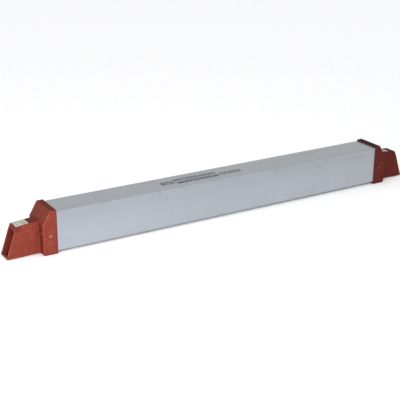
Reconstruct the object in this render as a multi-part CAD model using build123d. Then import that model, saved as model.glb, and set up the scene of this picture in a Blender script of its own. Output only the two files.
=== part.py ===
"""Box-beam float: a hollow light-alloy beam with a red cast cap and hand-hold nose at each end.

Units are millimetres. X runs along the beam, +Y to the rear, +Z up. The origin is on the
resting plane, under the middle of the beam. "Outboard" means away from the middle, towards
either end, and "inboard" means towards it. The right end (+X) is modelled and the left end
is its mirror image, apart from the place of the label.
"""

import os

from build123d import *

# Beam: one extruded rectangular tube.
BEAM_HEIGHT = 101.6
BEAM_WIDTH = 80.0
BEAM_WALL = 3.0
BEAM_CORNER_RADIUS = 1.2
VISIBLE_LENGTH = 981.4

# Cap socket: the collar that sleeves the end of the beam.
SOCKET_CLEARANCE = 0.2
COLLAR_LENGTH = 37.1
COLLAR_SIDE_WALL = 2.5
COLLAR_TOP_WALL = 3.8
COLLAR_SOLE_WALL = 6.8
COLLAR_END_WALL = 5.0
TOP_FLAT_LENGTH = 16.5
SHOULDER_FOOT_HEIGHT = 78.1
COLLAR_EDGE_RADIUS = 2.5
COLLAR_FOOT_RADIUS = 5.0
RIM_CHAMFER = 0.6

# Nose: the narrow hollow hand hold outboard of the collar, open at its slanted end.
NOSE_WIDTH = 41.6
NOSE_TOP_WIDTH = 34.0
NOSE_BOTTOM_HEIGHT = 1.9
NOSE_RIDGE_HEIGHT = 63.9
NOSE_TOP_AT_COLLAR = 83.9
NOSE_TOP_AT_END = 78.1
NOSE_TOP_LENGTH = 58.4
NOSE_BOTTOM_LENGTH = 84.8
NOSE_SIDE_WALL = 4.0
NOSE_FLOOR_WALL = 5.0
NOSE_ROOF_WALL = 4.0
NOSE_EDGE_RADIUS = 2.0
NOSE_ROOT_RADIUS = 3.5
NOSE_ROOT_DEPTH = 4.0
MOUTH_TOP_HEIGHT = 68.0
MOUTH_LIP_DEPTH = 6.5
BEAD_PROUD = 1.2
BEAD_HEIGHT = 5.0
BEAD_LENGTH = 42.0
DRAIN_DIAMETER = 10.0
DRAIN_FROM_END = 12.0

# Rib on the collar's end wall, each side of the nose.
RIB_HEIGHT = 5.5
RIB_PROUD = 2.5
RIB_CENTRE_HEIGHT = 58.2
RIB_REACH = 40.0
RIB_EDGE_RADIUS = 1.0

# Rivets: one through each side wall of each collar.
RIVET_FROM_RIM = 17.0
RIVET_CENTRE_HEIGHT = 48.0
RIVET_HEAD_DIAMETER = 9.6
RIVET_HEAD_HEIGHT = 2.2
RIVET_SHANK_DIAMETER = 5.0
RIVET_HOLE_DIAMETER = 5.2
RIVET_BULB_DIAMETER = 8.8
RIVET_BULB_LENGTH = 4.0
RIVET_BULB_RADIUS = 1.2
RIVET_RECESS_DIAMETER = 12.4
RIVET_RECESS_DEPTH = 0.8
MANDREL_DIAMETER = 2.6
MANDREL_GAP = 0.02
MANDREL_INSET = 0.7
MANDREL_BALL_LENGTH = 2.4
MANDREL_BALL_RADIUS = 1.0
WASHER_DIAMETER = 14.0
WASHER_THICKNESS = 1.0

# Seal between the end of the beam and the inside of the cap.
SEAL_THICKNESS = 2.0
SEAL_BORDER = 4.6

# Labels on the noses.
LABEL_LENGTH = 32.5
LABEL_WIDTH = 29.0
LABEL_THICKNESS = 0.3
LABEL_CORNER_RADIUS = 1.5
LABEL_END_MARGIN = {"right": 20.0, "left": 2.2}

# Derived places.
BEAM_BOTTOM = COLLAR_SOLE_WALL + SOCKET_CLEARANCE
BEAM_TOP = BEAM_BOTTOM + BEAM_HEIGHT
BEAM_MIDDLE = (BEAM_BOTTOM + BEAM_TOP) / 2
COLLAR_TOP = BEAM_TOP + SOCKET_CLEARANCE + COLLAR_TOP_WALL
COLLAR_WIDTH = BEAM_WIDTH + 2 * (SOCKET_CLEARANCE + COLLAR_SIDE_WALL)
RIM_X = VISIBLE_LENGTH / 2
END_WALL_X = RIM_X + COLLAR_LENGTH
NOSE_ROOT_X = END_WALL_X - NOSE_ROOT_DEPTH
NOSE_TOP_END_X = END_WALL_X + NOSE_TOP_LENGTH
NOSE_BOTTOM_END_X = END_WALL_X + NOSE_BOTTOM_LENGTH
RIVET_X = RIM_X + RIVET_FROM_RIM

# How far cutting solids run past the faces that they cut, and how near two places match.
OVERRUN = 10.0
MATCH = 0.1


def prism_along_y(points, width):
    """A solid with the side outline points (x, z), centred on the beam's middle plane."""
    outline = make_face(Polyline(*[(x, 0, z) for x, z in points], close=True))
    return extrude(outline, amount=width / 2, dir=(0, 1, 0), both=True)


def prism_along_x(points, start, end):
    """A solid with the end outline points (y, z), from x = start to x = end."""
    outline = make_face(Polyline(*[(start, y, z) for y, z in points], close=True))
    return extrude(outline, amount=end - start, dir=(1, 0, 0))


def cylinder_along_y(diameter, y_from, y_to):
    """A solid cylinder on the rivet axis between two depths."""
    length = abs(y_to - y_from)
    place = Pos(RIVET_X, (y_from + y_to) / 2, RIVET_CENTRE_HEIGHT)
    return place * Rot(90, 0, 0) * Cylinder(diameter / 2, length)


def end_line(inset):
    """The closed end of the cap seen from the side, moved inboard by inset.

    Returns three points (x, z): the foot of the wall, the bend where the wall meets the
    shoulder, and the point where the shoulder reaches the top of the collar.
    """
    shoulder = Vector(COLLAR_LENGTH - TOP_FLAT_LENGTH, SHOULDER_FOOT_HEIGHT - COLLAR_TOP)
    normal_x = -shoulder.Y / shoulder.length
    normal_z = shoulder.X / shoulder.length
    wall_x = END_WALL_X - inset
    bend_z = SHOULDER_FOOT_HEIGHT - inset * (1 - normal_x) / normal_z
    top_x = RIM_X + TOP_FLAT_LENGTH - inset / normal_x
    return [(wall_x, 0.0), (wall_x, bend_z), (top_x, COLLAR_TOP)]


def inboard_of_end_line(inset, start_x, width):
    """Everything from start_x to the end line, as a solid of the given width."""
    points = [(start_x, 0.0)] + end_line(inset) + [(start_x, COLLAR_TOP)]
    return prism_along_y(points, width)


def tube_outline(growth, radius, start, end):
    """A rounded bar with the beam's outer section, grown on every side by growth."""
    width = BEAM_WIDTH + 2 * growth
    height = BEAM_HEIGHT + 2 * growth
    section = Plane.YZ.offset(start) * Pos(0, BEAM_MIDDLE) * RectangleRounded(width, height, radius)
    return extrude(section, amount=end - start)


def make_beam_tube():
    """The extruded tube, with its top corners cut back to clear the caps' shoulders."""
    reach = END_WALL_X
    outer = tube_outline(0.0, BEAM_CORNER_RADIUS, -reach, reach)
    bore = tube_outline(-BEAM_WALL, BEAM_CORNER_RADIUS / 2, -reach, reach)
    inset = COLLAR_END_WALL + SEAL_THICKNESS
    right_limit = inboard_of_end_line(inset, 0.0, BEAM_WIDTH)
    limit = right_limit + mirror(right_limit, about=Plane.YZ)
    tube = (outer - bore) & limit
    hole = cylinder_along_y(RIVET_HOLE_DIAMETER, -BEAM_WIDTH, BEAM_WIDTH)
    return tube - hole - mirror(hole, about=Plane.YZ)


def make_collar():
    """The solid outer form of the collar, with its sloped shoulder and rounded edges."""
    points = [(RIM_X, 0.0)] + end_line(0.0) + [(RIM_X, COLLAR_TOP)]
    collar = prism_along_y(points, COLLAR_WIDTH)
    foot = collar.edges().filter_by(Axis.Y).group_by(Axis.Z)[0].sort_by(Axis.X)[-1]
    collar = fillet(foot, COLLAR_FOOT_RADIUS)
    sides = collar.faces().filter_by(Axis.Y)
    side_edges = [edge for face in sides for edge in face.edges()]
    outboard_edges = [edge for edge in side_edges if edge.center().X > RIM_X + MATCH]
    collar = fillet(outboard_edges, COLLAR_EDGE_RADIUS)
    rim = collar.faces().sort_by(Axis.X)[0]
    return chamfer(rim.edges(), RIM_CHAMFER)


def nose_section(inset):
    """The nose's end outline (y, z): upright sides, leaning inwards above the ridge."""
    top = NOSE_TOP_AT_COLLAR + OVERRUN
    lean = (NOSE_WIDTH - NOSE_TOP_WIDTH) / 2 / (NOSE_TOP_AT_COLLAR - NOSE_RIDGE_HEIGHT)
    half = NOSE_WIDTH / 2 - inset
    half_top = half - lean * (top - NOSE_RIDGE_HEIGHT)
    return [
        (-half, -OVERRUN),
        (half, -OVERRUN),
        (half, NOSE_RIDGE_HEIGHT),
        (half_top, top),
        (-half_top, top),
        (-half, NOSE_RIDGE_HEIGHT),
    ]


def nose_top_height(x):
    """Height of the nose's sloping top face at a place along the beam."""
    slope = (NOSE_TOP_AT_END - NOSE_TOP_AT_COLLAR) / (NOSE_TOP_END_X - NOSE_ROOT_X)
    return NOSE_TOP_AT_COLLAR + slope * (x - NOSE_ROOT_X)


def nose_side():
    """The nose's side outline (x, z), with its sloping top and slanted end."""
    return [
        (NOSE_ROOT_X, NOSE_BOTTOM_HEIGHT),
        (NOSE_BOTTOM_END_X, NOSE_BOTTOM_HEIGHT),
        (NOSE_TOP_END_X, NOSE_TOP_AT_END),
        (NOSE_ROOT_X, NOSE_TOP_AT_COLLAR),
    ]


def make_nose():
    """The solid outer form of the nose, with its top edges rounded."""
    nose = prism_along_x(nose_section(0.0), NOSE_ROOT_X, NOSE_BOTTOM_END_X)
    nose = nose & prism_along_y(nose_side(), NOSE_WIDTH)
    top = nose.faces().sort_by(Axis.Z)[-1]
    inner_edge = top.edges().sort_by(Axis.X)[0]
    return fillet([edge for edge in top.edges() if edge != inner_edge], NOSE_EDGE_RADIUS)


def make_bead():
    """The low bead that runs along both sides of the nose's foot, up to its end."""
    length = BEAD_LENGTH + OVERRUN
    centre_x = NOSE_BOTTOM_END_X - BEAD_LENGTH + length / 2
    centre_z = NOSE_BOTTOM_HEIGHT + BEAD_HEIGHT / 2
    width = NOSE_WIDTH + 2 * BEAD_PROUD
    bead = Pos(centre_x, 0, centre_z) * Box(length, width, BEAD_HEIGHT)
    return bead & prism_along_y(nose_side(), width)


def make_nose_hollow():
    """The space inside the nose, from the collar's end wall out past the mouth."""
    floor = NOSE_BOTTOM_HEIGHT + NOSE_FLOOR_WALL
    past_end = NOSE_BOTTOM_END_X + OVERRUN
    mouth_slope = (NOSE_BOTTOM_END_X - NOSE_TOP_END_X) / (NOSE_TOP_AT_END - NOSE_BOTTOM_HEIGHT)
    lip_x = NOSE_TOP_END_X + mouth_slope * (NOSE_TOP_AT_END - MOUTH_TOP_HEIGHT) - MOUTH_LIP_DEPTH
    side = [
        (END_WALL_X, floor),
        (past_end, floor),
        (past_end, MOUTH_TOP_HEIGHT),
        (lip_x, MOUTH_TOP_HEIGHT),
        (lip_x, nose_top_height(lip_x) - NOSE_ROOF_WALL),
        (END_WALL_X, nose_top_height(END_WALL_X) - NOSE_ROOF_WALL),
    ]
    space = prism_along_x(nose_section(NOSE_SIDE_WALL), END_WALL_X, past_end)
    return space & prism_along_y(side, NOSE_WIDTH)


def make_drain():
    """The round hole through the nose's floor, just inside the mouth."""
    place = Pos(NOSE_BOTTOM_END_X - DRAIN_FROM_END, 0, NOSE_BOTTOM_HEIGHT)
    return place * Cylinder(DRAIN_DIAMETER / 2, 2 * OVERRUN)


def make_ribs():
    """The short level ribs on the end wall, either side of the nose: one bar, half buried."""
    rib = Box(2 * RIB_PROUD, 2 * RIB_REACH, RIB_HEIGHT)
    rib = fillet(rib.edges().filter_by(Axis.Y), RIB_EDGE_RADIUS)
    return Pos(END_WALL_X, 0, RIB_CENTRE_HEIGHT) * rib


def make_socket():
    """The pocket that takes the end of the beam."""
    width = BEAM_WIDTH + 2 * SOCKET_CLEARANCE
    start = RIM_X - OVERRUN
    socket = tube_outline(SOCKET_CLEARANCE, BEAM_CORNER_RADIUS, start, END_WALL_X)
    return socket & inboard_of_end_line(COLLAR_END_WALL, start, width)


def nose_corner(edge):
    """The place level with an edge's middle where the nose's side meets the end wall."""
    middle = edge.center()
    side = 1 if middle.Y > 0 else -1
    return Vector(END_WALL_X, side * NOSE_WIDTH / 2, middle.Z)


def make_end_cap():
    """One cap: collar, shoulder, end wall and hollow nose in a single casting."""
    cap = make_collar() + make_nose()
    corners = cap.edges().filter_by(Axis.Z)
    roots = [edge for edge in corners if (edge.center() - nose_corner(edge)).length < MATCH]
    cap = fillet(roots, NOSE_ROOT_RADIUS)
    cap = cap + make_ribs() + make_bead()
    cap = cap - make_socket() - make_nose_hollow() - make_drain()
    cap = cap - cylinder_along_y(RIVET_HOLE_DIAMETER, -COLLAR_WIDTH, COLLAR_WIDTH)
    face_y = COLLAR_WIDTH / 2
    for side in (-1, 1):
        floor_y = side * (face_y - RIVET_RECESS_DEPTH)
        cap = cap - cylinder_along_y(RIVET_RECESS_DIAMETER, floor_y, side * (face_y + OVERRUN))
    return cap


def make_end_seal():
    """The thin rubber frame squeezed between the beam's end and the cap."""
    blank = tube_outline(0.0, BEAM_CORNER_RADIUS, RIM_X, END_WALL_X)
    outer = inboard_of_end_line(COLLAR_END_WALL, RIM_X, BEAM_WIDTH)
    inner = inboard_of_end_line(
        COLLAR_END_WALL + SEAL_THICKNESS, RIM_X - OVERRUN, BEAM_WIDTH + OVERRUN
    )
    window = tube_outline(-SEAL_BORDER, BEAM_CORNER_RADIUS, RIM_X, END_WALL_X)
    return (blank & outer) - inner - window


def make_rivet(side):
    """A dome-headed tubular rivet, seated in its recess and set inside the beam."""
    seat_y = COLLAR_WIDTH / 2 - RIVET_RECESS_DEPTH
    inner_y = BEAM_WIDTH / 2 - BEAM_WALL - WASHER_THICKNESS
    tail_y = inner_y - RIVET_BULB_LENGTH
    head_radius = RIVET_HEAD_DIAMETER / 2
    dome_radius = (head_radius**2 + RIVET_HEAD_HEIGHT**2) / (2 * RIVET_HEAD_HEIGHT)
    dome = Pos(0, 0, RIVET_HEAD_HEIGHT - dome_radius) * Sphere(dome_radius)
    keep = Pos(0, 0, RIVET_HEAD_HEIGHT / 2) * Cylinder(RIVET_HEAD_DIAMETER, RIVET_HEAD_HEIGHT)
    head = Rot(-90, 0, 0) * (dome & keep)
    rivet = Pos(RIVET_X, seat_y, RIVET_CENTRE_HEIGHT) * head
    rivet = rivet + cylinder_along_y(RIVET_SHANK_DIAMETER, tail_y, seat_y)
    bulb = cylinder_along_y(RIVET_BULB_DIAMETER, tail_y, inner_y)
    rivet = rivet + fillet(bulb.edges(), RIVET_BULB_RADIUS)
    bore = cylinder_along_y(MANDREL_DIAMETER + 2 * MANDREL_GAP, 0, COLLAR_WIDTH)
    rivet = rivet - bore
    return rivet if side > 0 else mirror(rivet, about=Plane.XZ)


def make_mandrel(side):
    """The broken-off pin that stays inside a set rivet."""
    seat_y = COLLAR_WIDTH / 2 - RIVET_RECESS_DEPTH
    outer_y = seat_y + RIVET_HEAD_HEIGHT - MANDREL_INSET
    tail_y = BEAM_WIDTH / 2 - BEAM_WALL - WASHER_THICKNESS - RIVET_BULB_LENGTH
    pin = cylinder_along_y(MANDREL_DIAMETER, tail_y, outer_y)
    ball = cylinder_along_y(RIVET_SHANK_DIAMETER, tail_y - MANDREL_BALL_LENGTH, tail_y)
    mandrel = pin + fillet(ball.edges().group_by(Axis.Y)[0], MANDREL_BALL_RADIUS)
    return mandrel if side > 0 else mirror(mandrel, about=Plane.XZ)


def make_washer(side):
    """The backing washer between the beam's wall and the rivet's set end."""
    wall_y = BEAM_WIDTH / 2 - BEAM_WALL
    washer = cylinder_along_y(WASHER_DIAMETER, wall_y - WASHER_THICKNESS, wall_y)
    washer = washer - cylinder_along_y(RIVET_HOLE_DIAMETER, 0, COLLAR_WIDTH)
    return washer if side > 0 else mirror(washer, about=Plane.XZ)


def make_label(end):
    """The thin label lying on the sloping top of a nose, on the right end."""
    middle_x = NOSE_TOP_END_X - LABEL_END_MARGIN[end] - LABEL_LENGTH / 2
    slope = Vector(NOSE_TOP_END_X - NOSE_ROOT_X, 0, NOSE_TOP_AT_END - NOSE_TOP_AT_COLLAR)
    up = Vector(-slope.Z, 0, slope.X)
    face = Plane(origin=(middle_x, 0, nose_top_height(middle_x)), x_dir=slope, z_dir=up)
    sheet = face * RectangleRounded(LABEL_LENGTH, LABEL_WIDTH, LABEL_CORNER_RADIUS)
    return extrude(sheet, amount=LABEL_THICKNESS)


def write(name, solid):
    """Write one node to its STEP file."""
    export_step(solid, f"parts/{name}.step")


def to_end(solid, end):
    """Leave a right-hand piece where it is, or mirror it to the left end."""
    return solid if end == "right" else mirror(solid, about=Plane.YZ)


def main():
    os.makedirs("parts", exist_ok=True)
    write("beam_tube", make_beam_tube())
    for end in ("left", "right"):
        write(f"end_cap_{end}", to_end(make_end_cap(), end))
        write(f"end_seal_{end}", to_end(make_end_seal(), end))
        write(f"nose_label_{end}", to_end(make_label(end), end))
        for place, side in (("front", -1), ("rear", 1)):
            write(f"rivet_{end}_{place}", to_end(make_rivet(side), end))
            write(f"rivet_mandrel_{end}_{place}", to_end(make_mandrel(side), end))
            write(f"rivet_washer_{end}_{place}", to_end(make_washer(side), end))


main()
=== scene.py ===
"""Looks of the box-beam float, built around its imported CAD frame. Units are metres."""

import functools
import math

import bmesh
import bpy
from mathutils import Matrix, Vector, noise


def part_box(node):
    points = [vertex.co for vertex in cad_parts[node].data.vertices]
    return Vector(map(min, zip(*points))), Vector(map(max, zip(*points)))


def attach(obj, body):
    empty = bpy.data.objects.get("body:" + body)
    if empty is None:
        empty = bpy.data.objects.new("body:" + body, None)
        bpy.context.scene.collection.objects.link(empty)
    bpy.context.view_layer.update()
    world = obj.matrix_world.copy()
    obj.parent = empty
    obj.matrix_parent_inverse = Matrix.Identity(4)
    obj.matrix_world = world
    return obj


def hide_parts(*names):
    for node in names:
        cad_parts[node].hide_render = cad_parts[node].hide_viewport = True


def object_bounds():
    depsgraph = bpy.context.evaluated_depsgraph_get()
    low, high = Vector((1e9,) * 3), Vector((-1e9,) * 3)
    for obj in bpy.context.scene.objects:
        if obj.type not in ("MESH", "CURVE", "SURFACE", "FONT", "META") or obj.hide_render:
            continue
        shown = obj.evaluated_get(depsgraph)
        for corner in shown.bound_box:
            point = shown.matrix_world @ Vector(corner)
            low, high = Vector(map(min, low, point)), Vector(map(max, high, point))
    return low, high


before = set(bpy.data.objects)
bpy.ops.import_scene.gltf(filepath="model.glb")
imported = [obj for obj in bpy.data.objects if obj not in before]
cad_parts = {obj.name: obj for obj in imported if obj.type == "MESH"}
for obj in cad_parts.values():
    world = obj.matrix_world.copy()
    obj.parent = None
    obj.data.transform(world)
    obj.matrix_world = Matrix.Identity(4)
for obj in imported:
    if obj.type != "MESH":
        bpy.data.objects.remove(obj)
cad_low, cad_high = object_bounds()

MM = 0.001
ENDS = ("left", "right")

# Cast caps: the grid that rounds their edges, how it is smoothed, the share of its faces
# that stays, and the size and depth of the lumps and pits in their skin.
CAST_VOXEL = 0.75 * MM
CAST_SMOOTHING = 3
CAST_SMOOTHING_STEP = 0.5
CAST_FACES_KEPT = 0.55
CAST_LUMP_SIZE = 9 * MM
CAST_LUMP_DEPTH = 0.10 * MM
CAST_PIT_SIZE = 2.2 * MM
CAST_PIT_DEPTH = 0.05 * MM
CAST_PIT_THRESHOLD = 0.3

# Beam: the slices that carry its dings. The row gap makes the four corners differ.
BEAM_SLICE = 12 * MM
DING_SPACING = 34 * MM
DING_DEPTH = 0.35 * MM
DING_THRESHOLD = 0.25
DING_ROW_GAP = 9
CORNER_BAND = 1.6 * MM

# Labels: the grid that carries their ripples.
LABEL_SLICE = 1.6 * MM
RIPPLE_SIZE = 7 * MM
RIPPLE_HEIGHT = 0.12 * MM
CORNER_LIFT = 0.9 * MM
CORNER_LIFT_REACH = 9 * MM

# How far two welded points may lie apart, the sliver that a cut may leave, and the angle
# from which an edge stays sharp.
WELD = 0.001 * MM
SLIVER = 0.0001 * MM
SHARP_ANGLE = 40.0


# ---------------------------------------------------------------- meshes


def add_piece(name, mesh):
    """A new object with this mesh, in the row frame."""
    piece = bpy.data.objects.new(name, mesh)
    bpy.context.scene.collection.objects.link(piece)
    return piece


def stand_for(piece, node):
    """Let a finished piece take a CAD node's place on the part's one body."""
    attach(piece, "root")
    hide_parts(node)


def settle(piece):
    """Apply the piece's modifiers to its mesh."""
    evaluated = piece.evaluated_get(bpy.context.evaluated_depsgraph_get())
    mesh = bpy.data.meshes.new_from_object(evaluated)
    piece.modifiers.clear()
    piece.data = mesh


def welded_copy(node):
    """A copy of a CAD node's mesh, with its split vertices joined."""
    mesh = bpy.data.meshes.new(node)
    form = bmesh.new()
    form.from_mesh(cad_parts[node].data)
    bmesh.ops.remove_doubles(form, verts=form.verts, dist=WELD)
    form.to_mesh(mesh)
    form.free()
    return mesh


def slice_mesh(mesh, axis, spacing):
    """Cut every face of the mesh at regular places along one axis."""
    form = bmesh.new()
    form.from_mesh(mesh)
    places = [vertex.co[axis] for vertex in form.verts]
    start = min(places)
    length = max(places) - start
    normal = Vector((0, 0, 0))
    normal[axis] = 1
    count = round(length / spacing)
    step = length / count
    for index in range(1, count):
        point = normal * (start + index * step)
        geometry = form.verts[:] + form.edges[:] + form.faces[:]
        bmesh.ops.bisect_plane(form, geom=geometry, plane_co=point, plane_no=normal, dist=SLIVER)
    form.to_mesh(mesh)
    form.free()


def smooth_by_area(piece):
    """Shade smooth, with flat faces kept flat beside their rounded edges."""
    piece.data.shade_smooth()
    piece.data.set_sharp_from_angle(angle=math.radians(SHARP_ANGLE))
    normals = piece.modifiers.new("normals", "WEIGHTED_NORMAL")
    normals.weight = 100
    normals.keep_sharp = True
    settle(piece)


def make_cast_cap(end):
    """A cap with the soft edges and slightly uneven skin of a painted casting."""
    node = f"end_cap_{end}"
    low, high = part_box(node)
    piece = add_piece(f"{node}_cast", welded_copy(node))
    remesh = piece.modifiers.new("remesh", "REMESH")
    remesh.mode = "VOXEL"
    remesh.voxel_size = CAST_VOXEL
    smooth = piece.modifiers.new("smooth", "SMOOTH")
    smooth.factor = CAST_SMOOTHING_STEP
    smooth.iterations = CAST_SMOOTHING
    settle(piece)
    skin = [(vertex.co.copy(), vertex.normal.copy()) for vertex in piece.data.vertices]
    for vertex, (place, normal) in zip(piece.data.vertices, skin):
        lump = noise.noise(place / CAST_LUMP_SIZE) * CAST_LUMP_DEPTH
        pit = max(0.0, noise.noise(place / CAST_PIT_SIZE) - CAST_PIT_THRESHOLD) * CAST_PIT_DEPTH
        moved = place + normal * (lump - pit)
        vertex.co = [min(max(p, a), b) for p, a, b in zip(moved, low, high)]
    thin = piece.modifiers.new("thin", "DECIMATE")
    thin.ratio = CAST_FACES_KEPT
    settle(piece)
    piece.data.shade_smooth()
    stand_for(piece, node)
    return piece


def make_beam_skin():
    """The tube, with small dings along its long corners."""
    low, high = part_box("beam_tube")
    mesh = welded_copy("beam_tube")
    slice_mesh(mesh, 0, BEAM_SLICE)
    middle = (low + high) / 2
    for vertex in mesh.vertices:
        y_gap = (high.y - low.y) / 2 - abs(vertex.co.y - middle.y)
        z_gap = (high.z - low.z) / 2 - abs(vertex.co.z - middle.z)
        if y_gap + z_gap > CORNER_BAND:
            continue
        rear = DING_ROW_GAP * (vertex.co.y > 0)
        upper = DING_ROW_GAP * (vertex.co.z > middle.z)
        seed = Vector((vertex.co.x / DING_SPACING, rear, upper))
        ding = max(0.0, noise.noise(seed) - DING_THRESHOLD) * DING_DEPTH
        vertex.co.y -= math.copysign(ding, vertex.co.y)
        vertex.co.z -= math.copysign(ding, vertex.co.z - middle.z)
    piece = add_piece("beam_tube_skin", mesh)
    smooth_by_area(piece)
    stand_for(piece, "beam_tube")
    return piece


def make_label(end):
    """A worn label: a thin rippled film with one corner coming up."""
    node = f"nose_label_{end}"
    low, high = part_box(node)
    mesh = welded_copy(node)
    slice_mesh(mesh, 0, LABEL_SLICE)
    slice_mesh(mesh, 1, LABEL_SLICE)
    side = 1 if end == "right" else -1
    corner = Vector((high.x if end == "right" else low.x, side * low.y))
    for vertex in mesh.vertices:
        ripple = 0.5 + 0.5 * noise.noise(vertex.co / RIPPLE_SIZE)
        reach = max(0.0, 1 - (vertex.co.xy - corner).length / CORNER_LIFT_REACH)
        vertex.co.z += ripple * RIPPLE_HEIGHT + reach**2 * CORNER_LIFT
    piece = add_piece(f"{node}_film", mesh)
    smooth_by_area(piece)
    stand_for(piece, node)
    return piece


# ---------------------------------------------------------------- material helpers


class Finish:
    """Builds one material's nodes. Every method returns an output socket."""

    def __init__(self, name):
        self.material = bpy.data.materials.new(name)
        self.material.use_nodes = True
        self.tree = self.material.node_tree
        self.tree.nodes.clear()
        self.place = self.add("ShaderNodeTexCoord").outputs["Object"]

    def add(self, kind, sockets=None, **settings):
        """A node with its settings, and its input sockets set or linked."""
        node = self.tree.nodes.new(kind)
        for key, value in settings.items():
            setattr(node, key, value)
        for key, value in (sockets or {}).items():
            if isinstance(value, bpy.types.NodeSocket):
                self.tree.links.new(value, node.inputs[key])
            else:
                node.inputs[key].default_value = value
        return node

    def stretched(self, scale):
        """Places on the object, scaled along each axis, for streaks."""
        return self.add("ShaderNodeMapping", {"Vector": self.place, "Scale": scale}).outputs[0]

    def noise(self, scale, detail=3.0, roughness=0.5, vector=None):
        """Fractal noise from 0 to 1."""
        sockets = {
            "Vector": vector or self.place,
            "Scale": scale,
            "Detail": detail,
            "Roughness": roughness,
        }
        return self.add("ShaderNodeTexNoise", sockets).outputs["Fac"]

    def chance(self, seed):
        """A number from 0 to 1 that is different for each whole number of seed."""
        node = self.add("ShaderNodeTexWhiteNoise", {"W": seed}, noise_dimensions="1D")
        return node.outputs[0]

    def math(self, operation, first, second=0.0, clamp=False):
        """One step of arithmetic."""
        node = self.add("ShaderNodeMath", {0: first, 1: second}, operation=operation)
        node.use_clamp = clamp
        return node.outputs[0]

    def product(self, *values):
        """All the values multiplied."""
        return functools.reduce(functools.partial(self.math, "MULTIPLY"), values)

    def strongest(self, *values):
        """The highest of the values."""
        return functools.reduce(functools.partial(self.math, "MAXIMUM"), values)

    def span(self, value, low, high, to_low=0.0, to_high=1.0):
        """Map a value from one range to another, held at both ends."""
        sockets = {0: value, 1: low, 2: high, 3: to_low, 4: to_high}
        return self.add("ShaderNodeMapRange", sockets, clamp=True).outputs[0]

    def blend(self, amount, under, over):
        """Lay one colour over another by an amount. The Mix node's colours are 6 and 7."""
        node = self.add("ShaderNodeMix", {0: amount}, data_type="RGBA")
        for index, value in ((6, under), (7, over)):
            if isinstance(value, bpy.types.NodeSocket):
                self.tree.links.new(value, node.inputs[index])
            else:
                node.inputs[index].default_value = (*value, 1.0)
        return node.outputs[2]

    def split(self, vector):
        """A vector's three parts."""
        node = self.add("ShaderNodeSeparateXYZ", {0: vector})
        return node.outputs[0], node.outputs[1], node.outputs[2]

    def bump(self, height, strength, distance):
        """A surface direction tilted by a height pattern."""
        sockets = {"Height": height, "Strength": strength, "Distance": distance}
        return self.add("ShaderNodeBump", sockets).outputs[0]

    def finish(self, color, roughness, normal, **plain):
        """The surface shader, with its plain values set on its own sockets."""
        shader = self.add("ShaderNodeBsdfPrincipled")
        self.tree.links.new(color, shader.inputs["Base Color"])
        self.tree.links.new(roughness, shader.inputs["Roughness"])
        self.tree.links.new(normal, shader.inputs["Normal"])
        for key, value in plain.items():
            shader.inputs[key.replace("_", " ")].default_value = value
        output = self.add("ShaderNodeOutputMaterial")
        self.tree.links.new(shader.outputs[0], output.inputs[0])
        return self.material


def dress(piece, material):
    """Give a piece this one material."""
    piece.data.materials.clear()
    piece.data.materials.append(material)


# ---------------------------------------------------------------- materials

# Each finish's roughness, from where its pattern is low to where it is high.
ROUGHNESS = {
    "beam": (0.36, 0.48),
    "cap": (0.42, 0.62),
    "rivet": (0.28, 0.45),
    "label": (0.42, 0.7),
    "pin": (0.5, 0.3),
    "seal": (0.62, 0.85),
    "floor": (0.7, 0.8),
}

# Each finish's bump: its strength and its depth.
BUMP = {
    "beam": (0.12, 0.3 * MM),
    "cap": (0.35, 0.25 * MM),
    "rivet": (0.25, 0.1 * MM),
    "label": (0.2, 0.1 * MM),
    "pin": (0.2, 0.08 * MM),
    "seal": (0.3, 0.1 * MM),
    "floor": (0.02, 0.2 * MM),
}

# How squarely a face has to look one way to count, from not at all to fully.
LOOKS_UP = (0.8, 0.95)
SLOPES_UP = (0.35, 0.98)
LOOKS_OUT = (0.75, 0.97)
LOOKS_SIDEWAYS = (0.8, 0.97)

# Pointiness is 0.5 where a surface is flat, lower in a hollow and higher on an edge.
CAP_HOLLOWS = (0.46, 0.495)
CAP_EDGES = (0.506, 0.53)
RIVET_HOLLOWS = (0.42, 0.49)
RIVET_EDGES = (0.51, 0.56)

# The left cap is the paler one; the right cap's darker colours are partly painted shade.
# Colours are linear. The shade values say how strongly painted shade covers a place, the rub
# value how strongly pale rubs and painted highlights do, and the gloss the paint's specular level.
# The scuffed and chipped colours also serve as painted highlights, the grime colour as painted shade.
CAP_TONES = {
    "left": {
        "deep": (0.165, 0.022, 0.011),
        "pale": (0.218, 0.034, 0.020),
        "scuff_and_highlight": (0.33, 0.082, 0.055),
        "chip_and_glint": (0.42, 0.19, 0.15),
        "painted_shade": (0.084, 0.008, 0.003),
        "top_shade": 0.75,
        "end_shade": 0.6,
        "lip_shade": 0.45,
        "rim_shadow": 0.6,
        "rub_and_highlight": 0.7,
        "gloss": 0.14,
    },
    "right": {
        "deep": (0.082, 0.008, 0.004),
        "pale": (0.112, 0.013, 0.008),
        "scuff_and_highlight": (0.150, 0.024, 0.016),
        "chip_and_glint": (0.17, 0.05, 0.04),
        "painted_shade": (0.022, 0.011, 0.012),
        "top_shade": 0.95,
        "end_shade": 0.8,
        "lip_shade": 0.25,
        "rim_shadow": 0.3,
        "rub_and_highlight": 0.15,
        "gloss": 0.1,
    },
}
# Near-black painted shade in the drain hole.
HOLE_SHADE_COLOR = (0.012, 0.004, 0.003)

# Sizes of the marks in the cap's paint, as noise scales.
CLOUD_SCALE = 38.0
GRAIN_SCALE = 420.0
PIT_SCALE = 900.0
CHIP_SCALE = 210.0
STROKE_SCALES = (95.0, 60.0, 38.0)

# Rivet heads: noise scales of the rubs and fine marks in their paint.
RIVET_RUB_SCALE = 320.0
RIVET_MARK_SCALE = 1300.0
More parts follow.
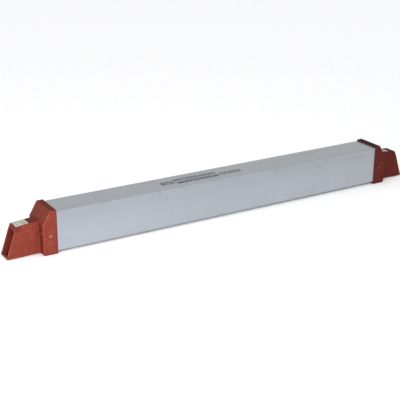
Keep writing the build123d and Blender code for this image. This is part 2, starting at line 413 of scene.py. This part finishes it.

# Labels: film, stains and plain printed blocks in rows. The row gap makes the rows differ.
# The band is the share of a line's height that is printed, and half of its cells are.
# The right label's darker film is painted shade.
LABEL_TONES = {
    "left": {"film": (0.64, 0.59, 0.52), "stain": (0.27, 0.28, 0.24), "print": (0.12, 0.15, 0.13)},
    "right": {"film": (0.52, 0.475, 0.41), "stain": (0.28, 0.28, 0.235), "print": (0.10, 0.12, 0.10)},
}
LABEL_LINE = 7.2 * MM
LABEL_CELL = 2.6 * MM
LABEL_ROW_GAP = 17.0
LABEL_PRINT_BAND = (0.15, 0.7)
LABEL_PRINT_FADE = 0.06
LABEL_PRINTED_CELLS = (0.48, 0.52)
LABEL_STAIN_SCALE = 110.0
LABEL_FLECK_SCALE = 700.0

# Places on the caps: distances from the middle of the beam or of its width, and heights.
END_WALL_X = 527.8 * MM
END_WALL_FADE = 3 * MM
RIDGE_LOW = 62.9 * MM
RIDGE_HIGH = 64.5 * MM
RIDGE_FADE = 0.5 * MM
LIP_X = 583 * MM
LIP_LENGTH = 14 * MM
LIP_LOW = 63 * MM
LIP_HIGH = 70 * MM
INNER_WALL_Y = 17.4 * MM
INNER_WALL_FADE = 0.5 * MM

# The band of painted shadow at a cap's rim, and the drain hole in its nose, painted near-black as
# shade.
RIM_BAND = 2.2 * MM
DRAIN_FROM_END = 12 * MM
DRAIN_RADIUS = 5 * MM
DRAIN_FADE = 1 * MM

# The beam's alloy: its tint drifts from end to end, and it is stained, drawn and dulled.
# Its top is made paler as painted light, its sides carry painted light and shade, and the
# bluish tint at the left end is a painted reflection.
ALLOY = {
    "bluish": (0.35, 0.39, 0.445),
    "neutral": (0.345, 0.372, 0.378),
    "clean": (0.41, 0.44, 0.48),
    "drawn_and_lit": (0.54, 0.575, 0.62),
    "dull_and_shaded": (0.32, 0.34, 0.37),
    "top": (0.585, 0.60, 0.592),
}
TINT_DRIFT = (-500 * MM, 500 * MM)
STREAK_SCALES = (1.2, 260.0, 260.0)
FINE_LINE_SCALES = (6.0, 1500.0, 1500.0)
STAIN_SCALE = 9.0
SMUDGE_SCALE = 34.0
INK_WEAR_SCALE = 160.0

# The beam's sides: the heights over which the painted floor reflection and the painted shade
# fade, and the places along X between which the painted shade fades.
FLOOR_GLOW_SIDE_FADE = (5 * MM, 100 * MM)
SHADE_SIDE_FADE = (45 * MM, 105 * MM)
SHADE_LENGTH_FADE = (-480 * MM, 0.0)

# Printed graduations on the beam's top: start and end along X, low and high along Y, the
# pitch of the ticks and the strength of their ink.
TICK_ROWS = (
    (-187 * MM, -149 * MM, -12 * MM, 11 * MM, 7.5 * MM, 0.95),
    (-146 * MM, -18 * MM, 1 * MM, 18 * MM, 5.2 * MM, 0.85),
    (-146 * MM, -18 * MM, -19 * MM, -2 * MM, 4.4 * MM, 1.0),
    (-14 * MM, 52 * MM, -15 * MM, 5 * MM, 6.1 * MM, 0.8),
    (236 * MM, 331 * MM, 13 * MM, 20 * MM, 4 * MM, 0.3),
)
PRINT_COLOR = (0.045, 0.052, 0.06)
PRINT_FADE = 0.2 * MM
TICK_WIDTHS = (0.6, 0.95)
TICK_SIDE_FADE = 0.06
TICK_END_FADE = 0.3 * MM
SHORTEST_TICK = 0.7

# Seals: black rubber, its paler bloom, and the noise scales of the bloom and the grain.
RUBBER_BLACK = (0.022, 0.022, 0.024)
RUBBER_BLOOM = (0.06, 0.06, 0.062)
BLOOM_SCALE = 60.0
RUBBER_GRAIN_SCALE = 1500.0

# Pins and washers: the two tones of their plating, and the noise scales of stains and marks.
PIN_DARK = (0.36, 0.36, 0.36)
PIN_LIGHT = (0.55, 0.55, 0.56)
PIN_STAIN_SCALE = 1 / (3 * MM)
PIN_MARK_SCALE = 6 / (3 * MM)


def inside(finish, value, low, high, soft=PRINT_FADE):
    """1 where the value lies between low and high, with soft ends."""
    rising = finish.span(value, low - soft, low + soft)
    falling = finish.span(value, high - soft, high + soft, 1.0, 0.0)
    return finish.product(rising, falling)


def tick_row(finish, x, y, start, end, low, high, pitch):
    """A row of plain printed ticks of uneven length and width, like graduations."""
    steps = finish.math("DIVIDE", x, pitch)
    chance = finish.chance(finish.math("FLOOR", steps))
    phase = finish.math("FRACT", steps)
    width = finish.span(chance, 0.0, 1.0, *TICK_WIDTHS)
    bar = finish.span(finish.math("SUBTRACT", width, phase), -TICK_SIDE_FADE, TICK_SIDE_FADE)
    top = finish.span(chance, 0.0, 1.0, high, low + (high - low) * SHORTEST_TICK)
    reach = finish.span(finish.math("SUBTRACT", top, y), -TICK_END_FADE, TICK_END_FADE)
    foot = finish.span(y, low, low + 2 * PRINT_FADE)
    return finish.product(bar, reach, inside(finish, x, start, end), foot)


def beam_side_painted_light(finish, x, z, up, color):
    """The beam's sides: paler towards the floor as a painted reflection of the floor, and darker
    towards the top of the left end as painted shade.
    """
    on_side = finish.span(up, -0.5, 0.5, 1.0, 0.0)
    floor_glow = finish.span(z, *FLOOR_GLOW_SIDE_FADE, 0.7, 0.0)
    upper_shade = finish.span(z, *SHADE_SIDE_FADE, 0.0, 0.85)
    left_end = finish.span(x, *SHADE_LENGTH_FADE, 1.0, 0.15)
    # Painted reflection of the floor low on the sides, painted shade high on the left end's sides.
    color = finish.blend(finish.product(on_side, floor_glow), color, ALLOY["drawn_and_lit"])
    return finish.blend(finish.product(on_side, upper_shade, left_end), color, ALLOY["dull_and_shaded"])


def beam_print(finish, x, y, on_top, color):
    """The worn graduations printed on the beam's top."""
    worn_ink = finish.span(finish.noise(INK_WEAR_SCALE, 3.0, 0.7), 0.36, 0.6, 0.75, 1.0)
    for start, end, low, high, pitch, strength in TICK_ROWS:
        ticks = tick_row(finish, x, y, start, end, low, high, pitch)
        color = finish.blend(finish.product(ticks, on_top, worn_ink, strength), color, PRINT_COLOR)
    return color


def beam_alloy():
    """Mill-finish extrusion: long draw lines, soft stains, dull patches and printed ticks, with
    painted light on its top and sides, painted shade on its sides and a painted bluish reflection
    tint.
    """
    finish = Finish("beam_alloy")
    x, y, z = finish.split(finish.place)
    _, _, up = finish.split(finish.add("ShaderNodeNewGeometry").outputs["Normal"])
    on_top = finish.span(up, *LOOKS_UP)
    streaks = finish.noise(1.0, 4.0, 0.6, finish.stretched(STREAK_SCALES))
    fine = finish.noise(1.0, 2.0, 0.5, finish.stretched(FINE_LINE_SCALES))
    stains = finish.noise(STAIN_SCALE, 3.0, 0.55)
    smudges = finish.noise(SMUDGE_SCALE, 4.0, 0.6)
    # Bluish towards the left end: a painted reflection tint.
    color = finish.blend(finish.span(x, *TINT_DRIFT), ALLOY["bluish"], ALLOY["neutral"])
    color = finish.blend(finish.span(stains, 0.3, 0.7, 0.0, 0.5), color, ALLOY["clean"])
    color = finish.blend(finish.span(streaks, 0.35, 0.75, 0.0, 0.3), color, ALLOY["drawn_and_lit"])
    color = finish.blend(finish.span(smudges, 0.55, 0.8, 0.0, 0.3), color, ALLOY["dull_and_shaded"])
    color = beam_side_painted_light(finish, x, z, up, color)
    # Paler top: painted light on the upward face.
    color = finish.blend(finish.product(on_top, 0.42), color, ALLOY["top"])
    color = beam_print(finish, x, y, on_top, color)
    roughness = finish.span(streaks, 0.3, 0.7, *ROUGHNESS["beam"])
    roughness = finish.math("ADD", roughness, finish.span(smudges, 0.5, 0.8, 0.0, 0.12))
    height = finish.math("ADD", finish.product(fine, 0.25), streaks)
    normal = finish.bump(height, *BUMP["beam"])
    return finish.finish(color, roughness, normal, Metallic=0.95)


def drain_hole(finish, x_reach, y, hole_x):
    """1 in the drain hole, whose centre is hole_x from the beam's middle, and 0 elsewhere."""
    gap = finish.math("SUBTRACT", x_reach, hole_x)
    squared = finish.math("ADD", finish.product(gap, gap), finish.product(y, y))
    radius = finish.math("SQRT", squared)
    return finish.span(radius, DRAIN_RADIUS, DRAIN_RADIUS + DRAIN_FADE, 1.0, 0.0)


def cap_painted_shade(finish, end, geometry, clouds):
    """Painted shade on a cap: on its tops and ends, in its corners and nose, along the mouth's upper
    lip and at its rim; also the mask of its drain hole.
    """
    tone = CAP_TONES[end]
    low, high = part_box(f"end_cap_{end}")
    rim_x, end_x = sorted((abs(low.x), abs(high.x)))
    x, y, z = finish.split(finish.place)
    x_reach = finish.math("ABSOLUTE", x)
    y_reach = finish.math("ABSOLUTE", y)
    along, _, up = finish.split(geometry.outputs["Normal"])
    patchy = finish.span(clouds, 0.25, 0.65, 0.6, 1.0)
    tops = finish.product(finish.span(up, *SLOPES_UP), tone["top_shade"])
    facing_out = finish.span(finish.math("ABSOLUTE", along), *LOOKS_OUT)
    ends = finish.product(facing_out, tone["end_shade"])
    faces = finish.product(finish.strongest(tops, ends), patchy)
    # Darker hollows and the inside of the nose: painted shade.
    corners = finish.span(geometry.outputs["Pointiness"], *CAP_HOLLOWS, 0.75, 0.0)
    wall_low = INNER_WALL_Y - INNER_WALL_FADE
    wall_high = INNER_WALL_Y + INNER_WALL_FADE
    hollow = finish.span(y_reach, wall_low, wall_high, 0.4, 0.0)
    outboard = finish.span(x_reach, END_WALL_X, END_WALL_X + END_WALL_FADE)
    nose_inside = finish.product(hollow, outboard)
    lip_start = LIP_X - LIP_LENGTH
    lip = finish.span(x_reach, lip_start, LIP_X, 0.0, tone["lip_shade"])
    lip = finish.product(finish.span(z, LIP_LOW, LIP_HIGH), lip)
    rim = finish.span(x_reach, rim_x + RIM_BAND, rim_x + 2 * RIM_BAND, tone["rim_shadow"], 0.0)
    film = finish.strongest(faces, corners, nose_inside, lip, rim)
    return film, drain_hole(finish, x_reach, y, end_x - DRAIN_FROM_END)


def cap_rubs_and_highlight(finish, end, geometry, clouds):
    """Where a cap is painted pale: a painted highlight along the nose's ridge, and rubbed paint in
    patches on its sides.
    """
    x, _, z = finish.split(finish.place)
    _, facing, _ = finish.split(geometry.outputs["Normal"])
    on_side = finish.span(finish.math("ABSOLUTE", facing), *LOOKS_SIDEWAYS)
    outboard = finish.span(finish.math("ABSOLUTE", x), END_WALL_X, END_WALL_X + END_WALL_FADE)
    # A painted highlight along the nose's top ridge.
    ridge = inside(finish, z, RIDGE_LOW, RIDGE_HIGH, RIDGE_FADE)
    ridge = finish.product(ridge, outboard, 0.5)
    strokes = finish.noise(1.0, 3.0, 0.6, finish.stretched(STROKE_SCALES))
    patches = finish.product(
        finish.span(strokes, 0.56, 0.7),
        on_side,
        finish.span(clouds, 0.4, 0.6, 0.3, 1.0),
    )
    return finish.product(finish.strongest(ridge, patches), CAP_TONES[end]["rub_and_highlight"])


def cap_paint(end):
    """Dull brick-red paint on a casting: mottled, with painted shade on its tops, ends, hollows, rim
    and drain hole, and pale edges that are partly scuffed paint, partly painted highlight.
    """
    tone = CAP_TONES[end]
    finish = Finish(f"cap_paint_{end}")
    geometry = finish.add("ShaderNodeNewGeometry")
    clouds = finish.noise(CLOUD_SCALE, 4.0, 0.6)
    grain = finish.noise(GRAIN_SCALE, 3.0, 0.6)
    pits = finish.noise(PIT_SCALE, 2.0, 0.5)
    chips = finish.noise(CHIP_SCALE, 2.0, 0.5)
    color = finish.blend(finish.span(clouds, 0.3, 0.7), tone["deep"], tone["pale"])
    color = finish.blend(finish.span(grain, 0.35, 0.7, 0.0, 0.3), color, tone["scuff_and_highlight"])
    # Paler convex edges: partly scuffed paint, partly painted highlight.
    edges = finish.span(geometry.outputs["Pointiness"], *CAP_EDGES)
    edge_wear_and_highlight = finish.product(edges, finish.span(clouds, 0.3, 0.6, 0.45, 1.0))
    color = finish.blend(edge_wear_and_highlight, color, tone["scuff_and_highlight"])
    color = finish.blend(finish.span(chips, 0.73, 0.78, 0.0, 0.6), color, tone["chip_and_glint"])
    color = finish.blend(cap_rubs_and_highlight(finish, end, geometry, clouds), color, tone["scuff_and_highlight"])
    # Painted shade over tops, ends, hollows, nose, lip and rim, then the drain hole painted
    # near-black as shade.
    film, hole = cap_painted_shade(finish, end, geometry, clouds)
    color = finish.blend(film, color, tone["painted_shade"])
    color = finish.blend(hole, color, HOLE_SHADE_COLOR)
    roughness = finish.span(grain, 0.3, 0.75, *ROUGHNESS["cap"])
    roughness = finish.math("ADD", roughness, finish.product(film, 0.25), clamp=True)
    height = finish.math("ADD", finish.product(pits, 0.4), grain)
    normal = finish.bump(height, *BUMP["cap"])
    return finish.finish(color, roughness, normal, Specular_IOR_Level=tone["gloss"])


def rivet_paint(end):
    """The cap's paint on a rivet's head, rubbed thin and glossier, paler as a painted highlight, with
    painted shadow in the hollow ring around it.
    """
    tone = CAP_TONES[end]
    finish = Finish(f"rivet_paint_{end}")
    rubs = finish.noise(RIVET_RUB_SCALE, 3.0, 0.6)
    marks = finish.noise(RIVET_MARK_SCALE, 2.0, 0.5)
    bend = finish.add("ShaderNodeNewGeometry").outputs["Pointiness"]
    color = finish.blend(finish.span(rubs, 0.35, 0.65), tone["pale"], tone["scuff_and_highlight"])
    # Paler dome edges: partly rubbed paint, partly painted highlight.
    edge_wear_and_highlight = finish.span(bend, *RIVET_EDGES, 0.0, tone["rub_and_highlight"])
    color = finish.blend(edge_wear_and_highlight, color, tone["chip_and_glint"])
    # Darker hollow ring: painted shadow.
    color = finish.blend(finish.span(bend, *RIVET_HOLLOWS, 0.8, 0.0), color, tone["painted_shade"])
    roughness = finish.span(rubs, 0.3, 0.7, *ROUGHNESS["rivet"])
    normal = finish.bump(marks, *BUMP["rivet"])
    return finish.finish(color, roughness, normal, Specular_IOR_Level=2 * tone["gloss"])


def label_film(end):
    """Off-white film with a generic block print, worn and stained."""
    tone = LABEL_TONES[end]
    finish = Finish(f"label_film_{end}")
    x, y, _ = finish.split(finish.place)
    stains = finish.noise(LABEL_STAIN_SCALE, 4.0, 0.65)
    flecks = finish.noise(LABEL_FLECK_SCALE, 3.0, 0.6)
    color = finish.blend(finish.span(stains, 0.42, 0.6, 0.0, 0.8), tone["film"], tone["stain"])
    lines = finish.math("DIVIDE", y, LABEL_LINE)
    row = inside(finish, finish.math("FRACT", lines), *LABEL_PRINT_BAND, LABEL_PRINT_FADE)
    cells = finish.math("FLOOR", finish.math("DIVIDE", x, LABEL_CELL))
    seed = finish.math("ADD", cells, finish.product(finish.math("FLOOR", lines), LABEL_ROW_GAP))
    printed = finish.span(finish.chance(seed), *LABEL_PRINTED_CELLS)
    worn_ink = finish.span(flecks, 0.35, 0.6, 0.25, 0.8)
    color = finish.blend(finish.product(row, printed, worn_ink), color, tone["print"])
    roughness = finish.span(stains, 0.3, 0.7, *ROUGHNESS["label"])
    normal = finish.bump(flecks, *BUMP["label"])
    return finish.finish(color, roughness, normal, IOR=1.45)


def pin_steel():
    """Zinc-plated pins and washers: fine marks, stains and duller patches."""
    finish = Finish("pin_steel")
    stains = finish.noise(PIN_STAIN_SCALE, 4.0, 0.6)
    marks = finish.noise(PIN_MARK_SCALE, 3.0, 0.6)
    color = finish.blend(finish.span(stains, 0.3, 0.7), PIN_DARK, PIN_LIGHT)
    roughness = finish.span(stains, 0.3, 0.7, *ROUGHNESS["pin"])
    normal = finish.bump(marks, *BUMP["pin"])
    return finish.finish(color, roughness, normal, Metallic=1.0)


def seal_rubber():
    """Matte black rubber with a faint bloom."""
    finish = Finish("seal_rubber")
    bloom = finish.noise(BLOOM_SCALE, 4.0, 0.6)
    grain = finish.noise(RUBBER_GRAIN_SCALE, 2.0, 0.5)
    color = finish.blend(finish.span(bloom, 0.4, 0.75), RUBBER_BLACK, RUBBER_BLOOM)
    roughness = finish.span(bloom, 0.3, 0.7, *ROUGHNESS["seal"])
    normal = finish.bump(grain, *BUMP["seal"])
    return finish.finish(color, roughness, normal)


# ---------------------------------------------------------------- stage

# Camera: place in metres, angles in degrees, lens and sensor in millimetres.
CAMERA_PLACE = Vector((-1.3098, -2.0465, 0.9555))
CAMERA_YAW = 31.23
CAMERA_PITCH = 20.86
CAMERA_ROLL = 0.45
CAMERA_LENS = 87.606
CAMERA_SENSOR = 36.0

# Light: even surroundings, a wash that only the floor receives, and a soft key at the left.
WORLD_COLOR = (0.98, 0.985, 1.0, 1.0)
WORLD_STRENGTH = 0.76
WASH_STRENGTH = 1.15
WASH_SPREAD = 90.0
WASH_TILT = 35.0
KEY_PLACE = Vector((-1.15, -1.35, 0.85))
KEY_TARGET = Vector((-0.35, 0.0, 0.05))
KEY_SIZE = 0.9
KEY_POWER = 22.0
KEY_COLOR = (1.0, 0.98, 0.96)

# Floor: how far it reaches, the hair's breadth that it lies below the soles, and its tones.
# A dome of the same reach, in this many segments, is the backdrop.
FLOOR_REACH = 12.0
FLOOR_GAP = 0.2 * MM
FLOOR_TONES = ((0.89, 0.89, 0.89), (0.91, 0.91, 0.91))
FLOOR_GRAIN_SCALE = 30.0
DOME_SEGMENTS = 48


def camera_axes():
    """The camera's right, up and backward directions."""
    yaw = math.radians(CAMERA_YAW)
    pitch = math.radians(CAMERA_PITCH)
    roll = math.radians(CAMERA_ROLL)
    level = math.cos(pitch)
    forward = Vector((math.sin(yaw) * level, math.cos(yaw) * level, -math.sin(pitch)))
    right = Vector((math.cos(yaw), -math.sin(yaw), 0))
    up = right.cross(forward)
    return (
        right * math.cos(roll) + up * math.sin(roll),
        up * math.cos(roll) - right * math.sin(roll),
        -forward,
    )


def make_camera():
    """The camera, as the scene's own."""
    data = bpy.data.cameras.new("camera")
    data.lens = CAMERA_LENS
    data.sensor_width = CAMERA_SENSOR
    camera = bpy.data.objects.new("camera", data)
    bpy.context.scene.collection.objects.link(camera)
    turn = Matrix(camera_axes()).transposed().to_4x4()
    camera.matrix_world = Matrix.Translation(CAMERA_PLACE) @ turn
    bpy.context.scene.camera = camera


def make_key_light():
    """A square soft light at the left, in front of the object."""
    data = bpy.data.lights.new("key", "AREA")
    data.size = KEY_SIZE
    data.energy = KEY_POWER
    data.color = KEY_COLOR
    light = bpy.data.objects.new("key", data)
    bpy.context.scene.collection.objects.link(light)
    light.location = KEY_PLACE
    light.rotation_euler = (KEY_TARGET - KEY_PLACE).to_track_quat("-Z", "Y").to_euler()


def make_floor_wash(floor):
    """A broad soft light from above that falls on the floor alone, to keep it pale."""
    data = bpy.data.lights.new("floor_wash", "SUN")
    data.energy = WASH_STRENGTH
    data.angle = math.radians(WASH_SPREAD)
    light = bpy.data.objects.new("floor_wash", data)
    bpy.context.scene.collection.objects.link(light)
    light.rotation_euler = (math.radians(WASH_TILT), 0.0, math.radians(-CAMERA_YAW))
    lit = bpy.data.collections.new("lit_by_wash")
    lit.objects.link(floor)
    light.light_linking.receiver_collection = lit


def make_world():
    """Plain soft surroundings."""
    world = bpy.data.worlds.new("studio")
    world.use_nodes = True
    background = world.node_tree.nodes["Background"]
    background.inputs["Color"].default_value = WORLD_COLOR
    background.inputs["Strength"].default_value = WORLD_STRENGTH
    bpy.context.scene.world = world


def make_backdrop():
    """A plain white dome that only the camera sees, so that low views have no horizon."""
    form = bmesh.new()
    half = DOME_SEGMENTS // 2
    bmesh.ops.create_uvsphere(form, u_segments=DOME_SEGMENTS, v_segments=half, radius=FLOOR_REACH)
    mesh = bpy.data.meshes.new("backdrop")
    form.to_mesh(mesh)
    form.free()
    backdrop = add_piece("backdrop", mesh)
    material = bpy.data.materials.new("backdrop_white")
    material.use_nodes = True
    nodes = material.node_tree.nodes
    nodes.clear()
    glow = nodes.new("ShaderNodeEmission")
    output = nodes.new("ShaderNodeOutputMaterial")
    material.node_tree.links.new(glow.outputs[0], output.inputs[0])
    dress(backdrop, material)
    backdrop.visible_diffuse = False
    backdrop.visible_glossy = False
    backdrop.visible_transmission = False
    backdrop.visible_shadow = False


def make_floor():
    """A plain pale floor."""
    form = bmesh.new()
    bmesh.ops.create_grid(form, x_segments=1, y_segments=1, size=FLOOR_REACH)
    mesh = bpy.data.meshes.new("floor")
    form.to_mesh(mesh)
    form.free()
    floor = add_piece("floor", mesh)
    floor.location.z = cad_low.z - FLOOR_GAP
    finish = Finish("floor_pale")
    grain = finish.noise(FLOOR_GRAIN_SCALE, 3.0, 0.5)
    color = finish.blend(finish.span(grain, 0.3, 0.7), *FLOOR_TONES)
    roughness = finish.span(grain, 0.3, 0.7, *ROUGHNESS["floor"])
    normal = finish.bump(grain, *BUMP["floor"])
    dress(floor, finish.finish(color, roughness, normal))
    return floor


# ---------------------------------------------------------------- the object


def make_object():
    """New meshes for the tube, caps and labels, and new finishes for the other CAD nodes."""
    dress(make_beam_skin(), beam_alloy())
    for end in ENDS:
        dress(make_cast_cap(end), cap_paint(end))
        dress(make_label(end), label_film(end))
    rivet = {end: rivet_paint(end) for end in ENDS}
    pin = pin_steel()
    rubber = seal_rubber()
    for name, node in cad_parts.items():
        if name.startswith("end_seal"):
            dress(node, rubber)
        elif name.startswith(("rivet_mandrel", "rivet_washer")):
            dress(node, pin)
        elif name.startswith("rivet"):
            dress(node, rivet["left" if "left" in name else "right"])


bpy.context.scene.view_settings.view_transform = "Standard"
make_object()
make_world()
make_backdrop()
make_floor_wash(make_floor())
make_camera()
make_key_light()
